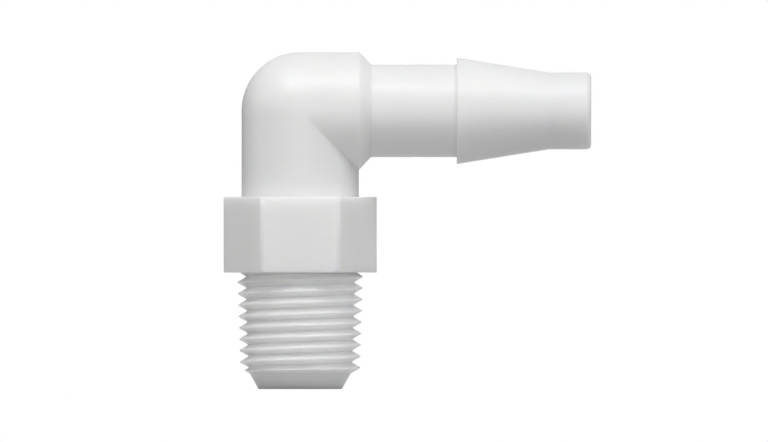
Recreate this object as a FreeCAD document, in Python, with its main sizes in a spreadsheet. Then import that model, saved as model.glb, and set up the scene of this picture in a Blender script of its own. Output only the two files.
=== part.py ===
import FreeCAD, Part
import math
import os
import Sketcher

# Angled hose nipple, moulded in one piece: a male taper pipe thread pointing down, a spanner hexagon above,
# a round barrel that turns 90 degrees at a ball corner, and a horizontal leg that ends in a hose barb.
# Origin on the thread's axis at the underside of the hexagon. +Z points away from the thread, and the hose
# leg points along +X. All sizes are in millimetres, and all angles in degrees.

doc = FreeCAD.newDocument("angled_hose_nipple")

# The driving sizes.
sizes = doc.addObject("Spreadsheet::Sheet", "Sizes")
driving_sizes = [
    # taper pipe thread: 27 threads per inch, 60 degree form, 1 in 16 on the diameter, right-hand
    ("thread_pitch", "0.94074"),
    ("crest_flat", "0.0716"),
    ("flank_angle", "60"),
    ("taper_ratio", "16"),
    ("thread_length", "8.33"),
    ("small_end_diameter", "9.95"),
    ("first_root_depth", "0.81"),
    # end of the thread, and the plain lead-in cone below it
    ("end_face_angle", "25"),
    ("lead_in_top_diameter", "8.36"),
    ("lead_in_diameter", "6.91"),
    ("lead_in_length", "1.31"),
    # spanner hexagon
    ("across_flats", "11.1125"),
    ("hex_height", "6.25"),
    ("hex_edge_radius", "0.5"),
    # barrel and ball corner
    ("barrel_diameter", "9.7"),
    ("hose_axis_rise", "7.12"),
    # hose leg
    ("shoulder_angle", "45"),
    ("neck_diameter", "7.65"),
    ("neck_length", "7.08"),
    ("barb_diameter", "8.79"),
    ("barb_length", "7.62"),
    ("tip_diameter", "6.36"),
    ("tip_length", "3.5"),
    ("tip_edge_radius", "0.39"),
    # passage for the fluid
    ("bore_diameter", "4.3"),
]
for row, (name, value) in enumerate(driving_sizes, start=1):
    sizes.set(f"A{row}", name)
    sizes.set(f"B{row}", value)
    sizes.setAlias(f"B{row}", name)
doc.recompute()

# Places that follow from the sizes.
taper_per_side = "0.5 / Sizes.taper_ratio"
thread_depth = "(Sizes.thread_pitch - Sizes.crest_flat) / (2 * tan(Sizes.flank_angle / 2))"
thread_turns = "ceil(Sizes.thread_length / Sizes.thread_pitch) + 2"
thread_bottom = "-Sizes.thread_length"
pipe_end = "-(Sizes.thread_length + Sizes.lead_in_length)"
small_end_crest = "Sizes.small_end_diameter / 2"
small_end_root = f"{small_end_crest} - {thread_depth}"
large_end_crest = f"{small_end_crest} + Sizes.thread_length * {taper_per_side}"
hose_axis = "Sizes.hex_height + Sizes.hose_axis_rise"
barrel_radius = "Sizes.barrel_diameter / 2"
bore_radius = "Sizes.bore_diameter / 2"
neck_radius = "Sizes.neck_diameter / 2"
barb_radius = "Sizes.barb_diameter / 2"
tip_radius = "Sizes.tip_diameter / 2"
neck_start = f"{barrel_radius} + ({barrel_radius} - {neck_radius}) / tan(Sizes.shoulder_angle)"
barb_start = f"{neck_start} + Sizes.neck_length"
tip_start = f"{barb_start} + Sizes.barb_length"
hose_end = f"{tip_start} + Sizes.tip_length"


def size_of(expression):
    """The present value of an expression of the sizes."""
    return float(sizes.evalExpression(expression))


def new_sketch(body, name, role, shift="0"):
    """A sketch on one of the body's own origin planes, its origin moved up in the plane by a shift."""
    sketch = body.newObject("Sketcher::SketchObject", name)
    plane = [feature for feature in body.Origin.OriginFeatures if feature.Role == role][0]
    sketch.AttachmentSupport = [(plane, "")]
    sketch.MapMode = "FlatFace"
    sketch.setExpression("AttachmentOffset.Base.y", shift)
    doc.recompute()
    return sketch


def tie_start(sketch, edge, across, up):
    """Tie the start of an edge to its two distances from the sketch's origin."""
    for kind, axis, distance in (("DistanceX", -2, across), ("DistanceY", -1, up)):
        if distance == "0":
            sketch.addConstraint(Sketcher.Constraint("PointOnObject", edge, 1, axis))
        else:
            index = sketch.addConstraint(Sketcher.Constraint(kind, -1, 1, edge, 1, size_of(distance)))
            sketch.setExpression(f"Constraints[{index}]", distance)


def draw_outline(sketch, corners, dome_after=None):
    """A closed outline through the corners. One edge may be a quarter round on the V axis."""
    points = [FreeCAD.Vector(size_of(across), size_of(up), 0) for across, up in corners]
    for index, point in enumerate(points):
        following = points[(index + 1) % len(points)]
        if index == dome_after:
            circle = Part.Circle(FreeCAD.Vector(0, point.y, 0), FreeCAD.Vector(0, 0, 1), point.x)
            sketch.addGeometry(Part.ArcOfCircle(circle, 0, math.pi / 2))
            sketch.addConstraint(Sketcher.Constraint("PointOnObject", index, 3, -2))
        else:
            sketch.addGeometry(Part.LineSegment(point, following))
    for index in range(len(points)):
        following = (index + 1) % len(points)
        sketch.addConstraint(Sketcher.Constraint("Coincident", index, 2, following, 1))
    for index, (across, up) in enumerate(corners):
        tie_start(sketch, index, across, up)
    doc.recompute()


def turn(body, kind, name, sketch, axis):
    """A full turn of a sketch about one of its own axes: a Revolution adds and a Groove cuts."""
    feature = body.newObject(kind, name)
    feature.Profile = sketch
    feature.ReferenceAxis = (sketch, [axis])
    feature.Angle = 360
    doc.recompute()
    return feature


def round_edges(body, name, base, edges, radius):
    """A rolling-ball fillet on the edges with the given numbers."""
    fillet = body.newObject("PartDesign::Fillet", name)
    fillet.Base = (base, [f"Edge{number}" for number in edges])
    fillet.setExpression("Radius", radius)
    doc.recompute()
    return fillet


nipple = doc.addObject("PartDesign::Body", "elbow_nipple")
nipple.Label = "elbow_nipple"
doc.recompute()

# Shank blank: a plain cone as wide as the thread's crests, from the hexagon's underside to the pipe end.
shank_outline = new_sketch(nipple, "shank_outline", "XZ_Plane")
draw_outline(shank_outline, [
    ("0", pipe_end),
    (f"-({small_end_crest} - Sizes.lead_in_length * {taper_per_side})", pipe_end),
    (f"-({large_end_crest})", "0"),
    ("0", "0"),
])
shank = turn(nipple, "PartDesign::Revolution", "shank", shank_outline, "V_Axis")

# Thread groove, drawn below the small end on the side of the hose leg. It climbs past the hexagon's
# underside as a right-hand helix that widens with the taper. Its mouth stands a little outside the blank,
# so that what is left of the blank's cone between two turns is the narrow flat on the crest.
mouth_overcut = "0.02"
end_trim_clearance = "0.3"
groove_turns_below = f"({thread_turns} - 2)"
groove_middle = f"-(Sizes.first_root_depth + {groove_turns_below} * Sizes.thread_pitch)"
groove_root = f"{small_end_root} + ({groove_middle} + Sizes.thread_length) * {taper_per_side}"
groove_mouth = f"{groove_root} + {thread_depth} + {mouth_overcut}"
half_mouth = f"({thread_depth} + {mouth_overcut}) * tan(Sizes.flank_angle / 2)"
groove_outline = new_sketch(nipple, "groove_outline", "XZ_Plane")
draw_outline(groove_outline, [
    (groove_root, groove_middle),
    (groove_mouth, f"{groove_middle} - {half_mouth}"),
    (groove_mouth, f"{groove_middle} + {half_mouth}"),
])
thread = nipple.newObject("PartDesign::SubtractiveHelix", "thread")
thread.Profile = groove_outline
thread.ReferenceAxis = (groove_outline, ["V_Axis"])
thread.Mode = "pitch-turns-angle"
thread.setExpression("Pitch", "Sizes.thread_pitch")
thread.setExpression("Turns", thread_turns)
thread.setExpression("Angle", f"atan({taper_per_side})")
thread.LeftHanded = False
thread.Reversed = False
doc.recompute()
if thread.Shape.Volume > shank.Shape.Volume - 1:
    raise RuntimeError("the thread groove cut nothing")

# Pipe end, turned down outside: the ridge stops at a short sloping face, and the plain lead-in cone below
# it starts just under the thread's root.
outside = f"{large_end_crest} + {end_trim_clearance}"
end_face_rise = f"({outside} - Sizes.lead_in_top_diameter / 2) * tan(Sizes.end_face_angle)"
end_outline = new_sketch(nipple, "end_outline", "XZ_Plane")
draw_outline(end_outline, [
    ("-Sizes.lead_in_diameter / 2", pipe_end),
    ("-Sizes.lead_in_top_diameter / 2", thread_bottom),
    (f"-({outside})", f"{thread_bottom} + {end_face_rise}"),
    (f"-({outside})", pipe_end),
])
pipe_end_shape = turn(nipple, "PartDesign::Groove", "pipe_end_shape", end_outline, "V_Axis")

# Spanner hexagon: two corners in line with the hose leg, and flats to the front and back.
corner_reach = "Sizes.across_flats / sqrt(3)"
half_side = "Sizes.across_flats / sqrt(12)"
half_flats = "Sizes.across_flats / 2"
hex_outline = new_sketch(nipple, "hex_outline", "XY_Plane")
draw_outline(hex_outline, [
    (corner_reach, "0"),
    (half_side, half_flats),
    (f"-{half_side}", half_flats),
    (f"-{corner_reach}", "0"),
    (f"-{half_side}", f"-{half_flats}"),
    (half_side, f"-{half_flats}"),
])
hexagon = nipple.newObject("PartDesign::Pad", "hexagon")
hexagon.Profile = hex_outline
hexagon.setExpression("Length", "Sizes.hex_height")
doc.recompute()

# The six upright edges of the hexagon are rounded, as the mould leaves them.
upright_edges = [
    number
    for number, edge in enumerate(hexagon.Shape.Edges, start=1)
    if isinstance(edge.Curve, Part.Line)
    and abs(edge.Curve.Direction.z) > 0.999
    and edge.CenterOfMass.z > 0
]
hex_rounding = round_edges(nipple, "hex_rounding", hexagon, upright_edges, "Sizes.hex_edge_radius")

# Barrel with its ball corner, whose centre is the point where the two legs' axes cross.
barrel_outline = new_sketch(nipple, "barrel_outline", "XZ_Plane")
draw_outline(barrel_outline, [
    ("0", "Sizes.hex_height"),
    (barrel_radius, "Sizes.hex_height"),
    (barrel_radius, hose_axis),
    ("0", f"{hose_axis} + {barrel_radius}"),
], dome_after=2)
barrel = turn(nipple, "PartDesign::Revolution", "barrel", barrel_outline, "V_Axis")

# Hose leg: as thick as the barrel until it is clear of it, then a sloping shoulder, a plain neck, one barb
# with a square back, and a plain tip that the hose goes over first.
leg_outline = new_sketch(nipple, "leg_outline", "XZ_Plane", hose_axis)
draw_outline(leg_outline, [
    ("0", "0"),
    ("0", f"-{barrel_radius}"),
    (barrel_radius, f"-{barrel_radius}"),
    (neck_start, f"-{neck_radius}"),
    (barb_start, f"-{neck_radius}"),
    (barb_start, f"-{barb_radius}"),
    (tip_start, f"-{tip_radius}"),
    (hose_end, f"-{tip_radius}"),
    (hose_end, "0"),
])
leg = turn(nipple, "PartDesign::Revolution", "leg", leg_outline, "H_Axis")

# The outer edge of the tip is rounded.
tip_edges = [
    number
    for number, edge in enumerate(leg.Shape.Edges, start=1)
    if edge.BoundBox.XMin > size_of(hose_end) - 0.001
]
tip_rounding = round_edges(nipple, "tip_rounding", leg, tip_edges, "Sizes.tip_edge_radius")

# Passage: a bore up from the pipe end, with a ball end round the point where the axes cross, and a bore in
# from the hose end that meets it.
pipe_bore_outline = new_sketch(nipple, "pipe_bore_outline", "XZ_Plane")
draw_outline(pipe_bore_outline, [
    ("0", pipe_end),
    (bore_radius, pipe_end),
    (bore_radius, hose_axis),
    ("0", f"{hose_axis} + {bore_radius}"),
], dome_after=2)
pipe_bore = turn(nipple, "PartDesign::Groove", "pipe_bore", pipe_bore_outline, "V_Axis")
hose_bore_outline = new_sketch(nipple, "hose_bore_outline", "XZ_Plane", hose_axis)
draw_outline(hose_bore_outline, [
    ("0", "0"),
    ("0", f"-{bore_radius}"),
    (hose_end, f"-{bore_radius}"),
    (hose_end, "0"),
])
hose_bore = turn(nipple, "PartDesign::Groove", "hose_bore", hose_bore_outline, "H_Axis")

nipple.Tip = hose_bore
nipple.Placement = FreeCAD.Placement()
doc.recompute()

for item in doc.Objects:
    if "Invalid" in item.State or "Error" in item.State:
        raise RuntimeError(f"{item.Name} failed: {item.State}")
if nipple.Shape.isNull() or not nipple.Shape.isValid():
    raise RuntimeError("elbow_nipple has no valid shape")

os.makedirs("parts", exist_ok=True)
nipple.Shape.exportStep("parts/elbow_nipple.step")
print("elbow_nipple", round(nipple.Shape.Volume, 3), "mm3")
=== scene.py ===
import math

import bmesh
import bpy
from mathutils import Matrix, Vector


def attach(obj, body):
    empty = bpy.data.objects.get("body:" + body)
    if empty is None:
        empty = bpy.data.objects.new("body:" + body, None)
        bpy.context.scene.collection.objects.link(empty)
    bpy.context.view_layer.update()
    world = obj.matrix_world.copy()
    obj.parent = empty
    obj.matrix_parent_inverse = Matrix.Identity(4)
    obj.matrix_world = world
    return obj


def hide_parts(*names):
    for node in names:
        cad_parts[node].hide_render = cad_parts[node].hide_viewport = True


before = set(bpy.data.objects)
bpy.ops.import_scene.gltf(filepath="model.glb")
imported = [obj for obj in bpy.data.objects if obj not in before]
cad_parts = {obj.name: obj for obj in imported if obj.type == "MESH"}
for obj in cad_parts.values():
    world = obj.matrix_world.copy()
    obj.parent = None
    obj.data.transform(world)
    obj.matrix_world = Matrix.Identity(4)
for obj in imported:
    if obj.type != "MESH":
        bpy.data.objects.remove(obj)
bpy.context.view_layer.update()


# BARREL, BALL CORNER AND HOSE LEG
# The upper part of the fitting, moulded in white nylon in one shot with the rest. Both legs are turned shapes of
# one thickness, and they meet on the sloping plane that halves the corner: a ball outside, a crease inside.
MM = 0.001
scene = bpy.context.scene
hose_axis_height = 13.37 * MM
barrel_radius = 4.85 * MM
shoulder_start = 4.89 * MM
neck_radius = 3.825 * MM
neck_start = 5.875 * MM
barb_back = 12.955 * MM
barb_radius = 4.395 * MM
tip_start = 20.575 * MM
tip_radius = 3.18 * MM
hose_end = 24.075 * MM
barrel_foot = hose_axis_height - 3.1 * MM
small_edge_radius = 0.04 * MM
neck_foot_radius = 0.05 * MM
barb_edge_radius = 0.045 * MM
tip_edge_radius = 0.39 * MM
steps_round = 160
ball_steps = 40
sleeve_steps = 10
longest_face = 0.45 * MM
mitre_weld = 2e-6
corner = Vector((0, 0, hose_axis_height))
mitre_slope = Vector((1, 0, 1)).normalized()


def draw_line(mesh, points):
    """An open line in the plane y = 0, from a list of (x, z)."""
    verts = [mesh.verts.new((x, 0, z)) for x, z in points]
    for start, end in zip(verts, verts[1:]):
        mesh.edges.new((start, end))
    return verts


def round_off(mesh, vert, radius, steps):
    """Round one corner of the line, as the edges of a mould are."""
    bmesh.ops.bevel(mesh, geom=[vert], offset=radius, offset_type="OFFSET", affect="VERTICES", segments=steps,
                    profile=0.5, material=-1)


def divide_runs(mesh):
    """Divide the line's long edges, so that the turned faces stay short and shade evenly."""
    for edge in list(mesh.edges):
        cuts = int(edge.calc_length() / longest_face)
        if cuts:
            bmesh.ops.subdivide_edges(mesh, edges=[edge], cuts=cuts)


def turn_about_z(mesh):
    """Turn the line once about the Z axis into a closed skin."""
    bmesh.ops.spin(mesh, geom=mesh.verts[:] + mesh.edges[:], axis=(0, 0, 1), cent=(0, 0, 0), dvec=(0, 0, 0),
                   angle=math.tau, steps=steps_round, use_merge=True, use_duplicate=False)
    bmesh.ops.remove_doubles(mesh, verts=mesh.verts[:], dist=1e-7)


def turned_leg(radius, outline, rounded):
    """A leg that stands up from a ball round the origin: the outline gives its (radius, distance) from there."""
    leg = bmesh.new()
    quarter = [math.pi / 2 * step / ball_steps for step in range(ball_steps + 1)]
    ball = [(radius * math.sin(angle), -radius * math.cos(angle)) for angle in quarter]
    # the sleeve next to the ball has the same rings on both legs, so that they meet point for point on the mitre
    sleeve = [(radius, radius * step / sleeve_steps) for step in range(1, sleeve_steps + 1)]
    verts = draw_line(leg, ball + sleeve + outline)
    for index, size, steps in rounded:
        round_off(leg, verts[len(ball) + len(sleeve) + index], size, steps)
    divide_runs(leg)
    turn_about_z(leg)
    return leg


def bent_solid(name, radius, upright_outline, level_outline, level_rounded):
    """One leg points down and one along +X. Each is cut on the sloping plane, and the two halves are welded."""
    solid = bmesh.new()
    half = bpy.data.meshes.new(name)
    down = Matrix.Translation(corner) @ Matrix.Rotation(math.pi, 4, "X")
    along = Matrix.Translation(corner) @ Matrix.Rotation(math.pi / 2, 4, "Y")
    for place, cut_side, outline, rounded in ((down, mitre_slope, upright_outline, []),
                                              (along, -mitre_slope, level_outline, level_rounded)):
        leg = turned_leg(radius, outline, rounded)
        bmesh.ops.transform(leg, matrix=place, verts=leg.verts[:])
        bmesh.ops.bisect_plane(leg, geom=leg.verts[:] + leg.edges[:] + leg.faces[:], dist=1e-8, plane_co=corner,
                               plane_no=cut_side, clear_outer=True, clear_inner=False)
        leg.to_mesh(half)
        leg.free()
        solid.from_mesh(half)
    bmesh.ops.remove_doubles(solid, verts=solid.verts[:], dist=mitre_weld)
    bmesh.ops.recalc_face_normals(solid, faces=solid.faces[:])
    solid.to_mesh(half)
    solid.free()
    piece = bpy.data.objects.new(name, half)
    scene.collection.objects.link(piece)
    return piece


elbow = bent_solid(
    "moulded_elbow_nipple",
    barrel_radius,
    [(barrel_radius, barrel_foot), (0, barrel_foot)],
    [
        (barrel_radius, shoulder_start),
        (neck_radius, neck_start),
        (neck_radius, barb_back),
        (barb_radius, barb_back),
        (tip_radius, tip_start),
        (tip_radius, hose_end),
        (0, hose_end),
    ],
    [
        (0, small_edge_radius, 2),
        (1, neck_foot_radius, 2),
        (2, small_edge_radius, 2),
        (3, barb_edge_radius, 3),
        (5, tip_edge_radius, 8),
    ],
)


# SPANNER HEXAGON
# The part that a spanner turns, 7/16 inch across its flats. It is moulded with the barrel, so its upright edges
# are well rounded and its top and bottom edges only just broken.
across_flats = 11.112 * MM
hexagon_height = 6.25 * MM
upright_edge_radius = 0.5 * MM
rim_radius = 0.05 * MM
half_side_angle = math.radians(30)

block = bmesh.new()
bmesh.ops.create_circle(block, cap_ends=True, segments=6, radius=across_flats / math.sqrt(3),
                        matrix=Matrix.Rotation(half_side_angle, 4, "Z"))
raised = bmesh.ops.extrude_face_region(block, geom=block.faces[:])
bmesh.ops.translate(block, verts=[item for item in raised["geom"] if isinstance(item, bmesh.types.BMVert)],
                    vec=(0, 0, hexagon_height))
bmesh.ops.recalc_face_normals(block, faces=block.faces[:])
upright_edges = [edge for edge in block.edges if abs(edge.verts[0].co.z - edge.verts[1].co.z) > hexagon_height / 2]
bmesh.ops.bevel(block, geom=upright_edges, offset=upright_edge_radius * math.tan(half_side_angle),
                offset_type="OFFSET", affect="EDGES", segments=10, profile=0.5, material=-1)
rims = [edge for edge in block.edges if abs(edge.verts[0].co.z - edge.verts[1].co.z) < 1e-7]
bmesh.ops.bevel(block, geom=rims, offset=rim_radius, offset_type="OFFSET", affect="EDGES", segments=2, profile=0.5,
                material=-1)
hexagon_mesh = bpy.data.meshes.new("hexagon")
block.to_mesh(hexagon_mesh)
block.free()
hexagon = bpy.data.objects.new("hexagon", hexagon_mesh)
scene.collection.objects.link(hexagon)


# THREADED SHANK
# The taper pipe thread below the hexagon: 27 threads per inch, 60 degree form, right-hand, 1 in 16 on the diameter.
# It is formed in the mould, so its crests and roots run softly round, without the torn edge of a cut thread.
pitch = 0.94074 * MM
sharp_depth = pitch * math.sqrt(3) / 2
softness = 0.12 * MM
thread_end = -8.33 * MM
pipe_end = -9.64 * MM
middle_radius_at_end = 4.599 * MM
taper_per_side = 1 / 32
first_root = -0.81 * MM
turns_below = 12
turns_above = 3
ridge_top = 0.9 * MM
ridge_bottom = pipe_end - 0.4 * MM
lead_in_radius = 3.455 * MM
lead_in_top_radius = 4.18 * MM
beyond_crests = 5.6 * MM
end_face_angle = math.radians(25)
inside_hexagon = 0.7 * MM
pipe_edge_radius = 0.05 * MM

ridge = bmesh.new()
below = first_root - turns_below * pitch
verts = draw_line(ridge, [
    (middle_radius_at_end, below - pitch / 4),
    (middle_radius_at_end - sharp_depth / 2, below),
    (middle_radius_at_end + sharp_depth / 2, below + pitch / 2),
    (middle_radius_at_end, below + 3 * pitch / 4),
])
round_off(ridge, verts[1], softness, 4)
round_off(ridge, verts[2], softness, 4)
thread_turns = turns_below + turns_above
bmesh.ops.spin(ridge, geom=ridge.verts[:] + ridge.edges[:], axis=(0, 0, 1), cent=(0, 0, 0),
               dvec=(0, 0, pitch / steps_round), angle=math.tau * thread_turns, steps=steps_round * thread_turns,
               use_merge=False, use_duplicate=False)
bmesh.ops.remove_doubles(ridge, verts=ridge.verts[:], dist=1e-6)
for vert in ridge.verts:
    radius = math.hypot(vert.co.x, vert.co.y)
    vert.co.xy *= 1 + (vert.co.z - thread_end) * taper_per_side / radius
for height, side in ((ridge_top, 1), (ridge_bottom, -1)):
    cut = bmesh.ops.bisect_plane(ridge, geom=ridge.verts[:] + ridge.edges[:] + ridge.faces[:], dist=1e-8,
                                 plane_co=(0, 0, height), plane_no=(0, 0, side), clear_outer=True)
    bmesh.ops.edgeloop_fill(ridge, edges=[item for item in cut["geom_cut"] if isinstance(item, bmesh.types.BMEdge)])
bmesh.ops.recalc_face_normals(ridge, faces=ridge.faces[:])
shank_mesh = bpy.data.meshes.new("shank")
ridge.to_mesh(shank_mesh)
ridge.free()
shank = bpy.data.objects.new("shank", shank_mesh)
scene.collection.objects.link(shank)

envelope = bmesh.new()
verts = draw_line(envelope, [
    (0, pipe_end),
    (lead_in_radius, pipe_end),
    (lead_in_top_radius, thread_end),
    (beyond_crests, thread_end + (beyond_crests - lead_in_top_radius) * math.tan(end_face_angle)),
    (beyond_crests, inside_hexagon),
    (0, inside_hexagon),
])
round_off(envelope, verts[1], pipe_edge_radius, 2)
divide_runs(envelope)
turn_about_z(envelope)
bmesh.ops.recalc_face_normals(envelope, faces=envelope.faces[:])
envelope_mesh = bpy.data.meshes.new("shank_envelope")
envelope.to_mesh(envelope_mesh)
envelope.free()
shank_envelope = bpy.data.objects.new("shank_envelope", envelope_mesh)
scene.collection.objects.link(shank_envelope)


def combine(piece, operation, tool):
    """Join, cut or trim the piece with a second solid, which is then gone."""
    step = piece.modifiers.new("step", "BOOLEAN")
    step.operation = operation
    step.solver = "EXACT"
    step.object = tool
    result = bpy.data.meshes.new_from_object(piece.evaluated_get(bpy.context.evaluated_depsgraph_get()))
    piece.modifiers.remove(step)
    piece.data = result
    bpy.data.objects.remove(tool)


combine(shank, "INTERSECT", shank_envelope)


# FLOW PASSAGE
# The 4.3 mm way through for the fluid, left by two core pins that meet in the corner. Its two mouths have a small
# broken edge, where the pins leave the moulding.
bore_radius = 2.15 * MM
mouth = 0.12 * MM

passage = bent_solid(
    "passage",
    bore_radius,
    [
        (bore_radius, hose_axis_height - pipe_end - mouth),
        (bore_radius + 2 * mouth, hose_axis_height - pipe_end + mouth),
        (0, hose_axis_height - pipe_end + mouth),
    ],
    [
        (bore_radius, hose_end - mouth),
        (bore_radius + 2 * mouth, hose_end + mouth),
        (0, hose_end + mouth),
    ],
    [],
)


# THE WHOLE MOULDING
# One piece of white nylon, joined from the shapes above and bored through. Its curved faces run smoothly, and each
# real edge stays crisp, the crease inside the corner too. The thread's colour is painted a little paler: painted
# light that brightens its ridges and grooves.
real_edge_angle = math.radians(24)
combine(elbow, "UNION", hexagon)
combine(elbow, "UNION", shank)
combine(elbow, "DIFFERENCE", passage)

skin = bmesh.new()
skin.from_mesh(elbow.data)
bmesh.ops.remove_doubles(skin, verts=skin.verts[:], dist=2e-7)
bmesh.ops.dissolve_degenerate(skin, edges=skin.edges[:], dist=2e-7)
bmesh.ops.recalc_face_normals(skin, faces=skin.faces[:])
for face in skin.faces:
    face.smooth = True
for edge in skin.edges:
    on_crease = all(abs((vert.co - corner).dot(mitre_slope)) < mitre_weld and vert.co.x > 1e-5 for vert in edge.verts)
    edge.smooth = edge.calc_face_angle() < real_edge_angle and not on_crease
skin.to_mesh(elbow.data)
skin.free()
flat_faces_stay_flat = elbow.modifiers.new("flat_faces_stay_flat", "WEIGHTED_NORMAL")
flat_faces_stay_flat.mode = "FACE_AREA"
flat_faces_stay_flat.keep_sharp = True

white_nylon = bpy.data.materials.new("white_nylon")
white_nylon.use_nodes = True
nodes = white_nylon.node_tree.nodes
links = white_nylon.node_tree.links
surface = nodes["Principled BSDF"]
surface.inputs["IOR"].default_value = 1.5
surface.inputs["Specular IOR Level"].default_value = 0.3
surface.inputs["Subsurface Weight"].default_value = 1.0
surface.inputs["Subsurface Radius"].default_value = (1.0, 0.96, 0.9)
surface.inputs["Subsurface Scale"].default_value = 1.5 * MM
place = nodes.new("ShaderNodeTexCoord")

flow_cloud = nodes.new("ShaderNodeTexNoise")
flow_cloud.inputs["Scale"].default_value = 260
flow_cloud.inputs["Detail"].default_value = 3
links.new(place.outputs["Object"], flow_cloud.inputs["Vector"])
tint = nodes.new("ShaderNodeMapRange")
tint.inputs["To Min"].default_value = 0.87
tint.inputs["To Max"].default_value = 0.89
links.new(flow_cloud.outputs["Fac"], tint.inputs["Value"])
position = nodes.new("ShaderNodeSeparateXYZ")
links.new(place.outputs["Object"], position.inputs["Vector"])
# painted light: from the thread's end up to the hexagon the base colour is raised by 0.06, a painted brightening of
# the thread's ridges and grooves
in_thread = nodes.new("ShaderNodeMath")
in_thread.operation = "COMPARE"
in_thread.inputs[1].default_value = thread_end / 2
in_thread.inputs[2].default_value = -thread_end / 2
links.new(position.outputs["Z"], in_thread.inputs[0])
painted_thread_light = nodes.new("ShaderNodeMath")
painted_thread_light.operation = "MULTIPLY_ADD"
painted_thread_light.inputs[1].default_value = 0.06
links.new(in_thread.outputs["Value"], painted_thread_light.inputs[0])
links.new(tint.outputs["Result"], painted_thread_light.inputs[2])
colour = nodes.new("ShaderNodeCombineColor")
for channel in ("Red", "Green", "Blue"):
    links.new(painted_thread_light.outputs["Value"], colour.inputs[channel])
links.new(colour.outputs["Color"], surface.inputs["Base Color"])

satin_cloud = nodes.new("ShaderNodeTexNoise")
satin_cloud.inputs["Scale"].default_value = 700
satin_cloud.inputs["Detail"].default_value = 4
links.new(place.outputs["Object"], satin_cloud.inputs["Vector"])
satin = nodes.new("ShaderNodeMapRange")
satin.inputs["To Min"].default_value = 0.30
satin.inputs["To Max"].default_value = 0.38
links.new(satin_cloud.outputs["Fac"], satin.inputs["Value"])
links.new(satin.outputs["Result"], surface.inputs["Roughness"])

grain = nodes.new("ShaderNodeTexNoise")
grain.inputs["Scale"].default_value = 5000
grain.inputs["Detail"].default_value = 2
links.new(place.outputs["Object"], grain.inputs["Vector"])
relief = nodes.new("ShaderNodeBump")
relief.inputs["Strength"].default_value = 0.15
relief.inputs["Distance"].default_value = 0.002 * MM
links.new(grain.outputs["Fac"], relief.inputs["Height"])
links.new(relief.outputs["Normal"], surface.inputs["Normal"])
elbow.data.materials.clear()
elbow.data.materials.append(white_nylon)

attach(elbow, "root")
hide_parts("elbow_nipple")


# STUDIO
# A white room with a pale floor under the pipe end and large soft lamps: a wide one and a strip above the front, and
# weaker ones to the left and right of them, low in front, at both sides and behind. In reflections the room is dimmer
# at eye level. The camera looks straight at the side of the fitting from far away.
middle = Vector((6.934, 0, 4.264)) * MM
camera_distance = 0.3
lamp_distance = 0.4
floor_half_width = 0.6
floor_height = pipe_end - 0.02 * MM
camera_data = bpy.data.cameras.new("camera")
camera_data.type = "ORTHO"
camera_data.ortho_scale = 63.54 * MM
camera = bpy.data.objects.new("camera", camera_data)
camera.location = middle + Vector((0, -camera_distance, 0))
camera.rotation_euler = (math.pi / 2, 0, 0)
scene.collection.objects.link(camera)
scene.camera = camera
scene.view_settings.view_transform = "Standard"

LAMPS = [
    # name, height and turn from the front in degrees, width, depth, power
    ("front_top", 60, 0, 0.36, 0.26, 0.41),
    ("front_strip", 63, 0, 0.30, 0.05, 0.24),
    ("front_top_left", 58, -30, 0.14, 0.10, 0.39),
    ("front_top_right", 46, 40, 0.22, 0.20, 0.185),
    ("front_middle", 35, 0, 0.20, 0.20, 0.09),
    ("front_low", 4, 0, 0.30, 0.08, 0.275),
    ("right_side", 13, 90, 0.20, 0.20, 0.275),
    ("left_side", 13, -90, 0.20, 0.20, 0.17),
    ("behind", 12, 180, 0.30, 0.15, 0.50),
]
for name, height, turn, width, depth, power in LAMPS:
    lamp_data = bpy.data.lights.new(name, "AREA")
    lamp_data.shape = "RECTANGLE"
    lamp_data.size = width
    lamp_data.size_y = depth
    lamp_data.energy = power
    lamp = bpy.data.objects.new(name, lamp_data)
    height, turn = math.radians(height), math.radians(turn)
    toward = Vector((math.cos(height) * math.sin(turn), -math.cos(height) * math.cos(turn), math.sin(height)))
    lamp.location = middle + toward * lamp_distance
    lamp.rotation_mode = "QUATERNION"
    lamp.rotation_quaternion = toward.to_track_quat("Z", "Y")
    lamp.visible_camera = False
    lamp.visible_glossy = name != "behind"
    scene.collection.objects.link(lamp)


def seen_directly(tree, dimmed=None):
    """1 where the camera looks or sees a reflection, which may be dimmed, and 0 where light only bounces."""
    path = tree.nodes.new("ShaderNodeLightPath")
    reflection = path.outputs["Is Glossy Ray"]
    if dimmed:
        mirrored = tree.nodes.new("ShaderNodeMath")
        mirrored.operation = "MULTIPLY"
        tree.links.new(reflection, mirrored.inputs[0])
        tree.links.new(dimmed, mirrored.inputs[1])
        reflection = mirrored.outputs["Value"]
    either = tree.nodes.new("ShaderNodeMath")
    either.operation = "MAXIMUM"
    tree.links.new(path.outputs["Is Camera Ray"], either.inputs[0])
    tree.links.new(reflection, either.inputs[1])
    any_of_them = tree.nodes.new("ShaderNodeMath")
    any_of_them.operation = "MAXIMUM"
    tree.links.new(either.outputs["Value"], any_of_them.inputs[0])
    tree.links.new(path.outputs["Is Transmission Ray"], any_of_them.inputs[1])
    return any_of_them.outputs["Value"]


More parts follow.
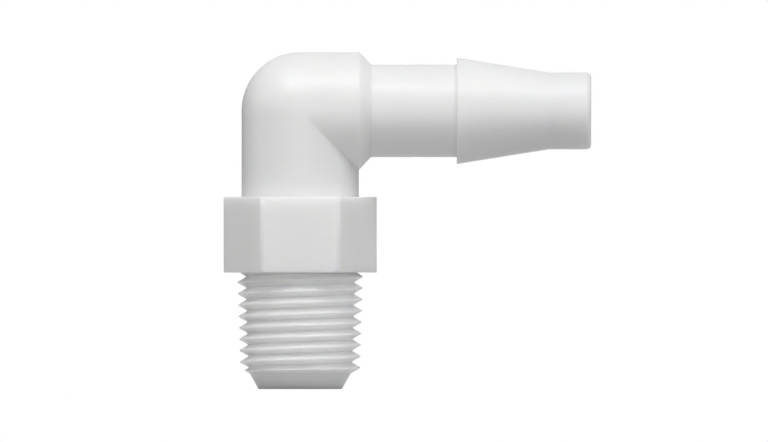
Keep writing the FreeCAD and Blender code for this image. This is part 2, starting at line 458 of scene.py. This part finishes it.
room = bpy.data.worlds.new("room")
room.use_nodes = True
scene.world = room
walls = room.node_tree
background = walls.nodes["Background"]
background.inputs["Color"].default_value = (1, 1, 1, 1)
direction = walls.nodes.new("ShaderNodeTexCoord")
heading = walls.nodes.new("ShaderNodeSeparateXYZ")
walls.links.new(direction.outputs["Generated"], heading.inputs["Vector"])
slope = walls.nodes.new("ShaderNodeMath")
slope.operation = "ABSOLUTE"
walls.links.new(heading.outputs["Z"], slope.inputs[0])
dim_at_eye_level = walls.nodes.new("ShaderNodeMapRange")
dim_at_eye_level.interpolation_type = "SMOOTHSTEP"
dim_at_eye_level.inputs["From Min"].default_value = 0.05
dim_at_eye_level.inputs["From Max"].default_value = 0.4
dim_at_eye_level.inputs["To Min"].default_value = 0.2
dim_at_eye_level.inputs["To Max"].default_value = 1.0
walls.links.new(slope.outputs["Value"], dim_at_eye_level.inputs["Value"])
level = walls.nodes.new("ShaderNodeMapRange")
level.inputs["To Min"].default_value = 0.05
level.inputs["To Max"].default_value = 1.0
walls.links.new(seen_directly(walls, dim_at_eye_level.outputs["Result"]), level.inputs["Value"])
walls.links.new(level.outputs["Result"], background.inputs["Strength"])

ground = bmesh.new()
bmesh.ops.create_grid(ground, x_segments=1, y_segments=1, size=floor_half_width,
                      matrix=Matrix.Translation((0, 0, floor_height)))
ground_mesh = bpy.data.meshes.new("floor")
ground.to_mesh(ground_mesh)
ground.free()
floor = bpy.data.objects.new("floor", ground_mesh)
scene.collection.objects.link(floor)
pale = bpy.data.materials.new("pale_floor")
pale.use_nodes = True
paint = pale.node_tree
paint.nodes.remove(paint.nodes["Principled BSDF"])
dull = paint.nodes.new("ShaderNodeBsdfDiffuse")
dull.inputs["Color"].default_value = (0.45, 0.45, 0.45, 1)
glow = paint.nodes.new("ShaderNodeEmission")
glow.inputs["Strength"].default_value = 0.6
white = paint.nodes.new("ShaderNodeAddShader")
paint.links.new(dull.outputs["BSDF"], white.inputs[0])
paint.links.new(glow.outputs["Emission"], white.inputs[1])
choice = paint.nodes.new("ShaderNodeMixShader")
paint.links.new(seen_directly(paint), choice.inputs["Fac"])
paint.links.new(dull.outputs["BSDF"], choice.inputs[1])
paint.links.new(white.outputs["Shader"], choice.inputs[2])
paint.links.new(choice.outputs["Shader"], paint.nodes["Material Output"].inputs["Surface"])
floor.data.materials.append(pale)
